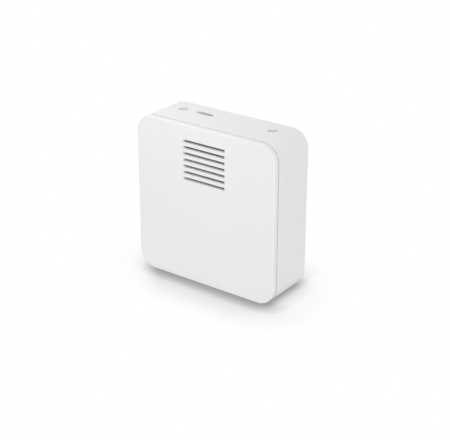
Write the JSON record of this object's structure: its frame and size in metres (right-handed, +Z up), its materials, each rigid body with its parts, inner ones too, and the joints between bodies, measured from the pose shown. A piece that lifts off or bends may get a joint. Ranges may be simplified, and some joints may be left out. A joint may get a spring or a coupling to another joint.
{
  "type": "temperature sensor",
  "caption": "Square white room temperature sensor with rounded corners, a vented front cover over a shadow gap, and a deep rear housing with holes for wall screws.",
  "frame": {"origin": "middle of the footprint, on the surface that the sensor stands on", "axes": "+X to the right seen from the front, -Y out of the vented front, +Z up"},
  "size_m": [0.08, 0.0274, 0.08],
  "materials": {
    "white_plastic": "fine moulded texture",
    "screen_mesh": "fine grey gauze",
    "smoked_plastic": "smoked, polished",
    "board": "solder mask, satin",
    "black_plastic": "moulded, matte",
    "grey_plastic": "moulded, matte",
    "steel": "nickel plated",
    "brass": "gold plated pins",
    "cell_jacket": "plain film over steel",
    "light_body": "clear resin"
  },
  "bodies": {
    "root": {"front_cover": "white_plastic", "rear_housing": "white_plastic", "dust_screen": "screen_mesh", "light_guide": "smoked_plastic", "sensor_board": "board", "temperature_sensor": "black_plastic", "sensor_stand": "grey_plastic", "pin_header": "brass", "main_board": "board", "board_screws": "steel", "microcontroller": "black_plastic", "crystal": "steel", "capacitor": "steel", "small_chips": "black_plastic", "radio_board": "board", "radio_shield": "steel", "antenna": "steel", "status_led": "light_body", "battery_holder": "black_plastic", "battery_lower": "cell_jacket", "battery_upper": "cell_jacket", "positive_contact": "steel", "negative_contact": "steel", "link_contact": "steel"}
  },
  "joints": []
}
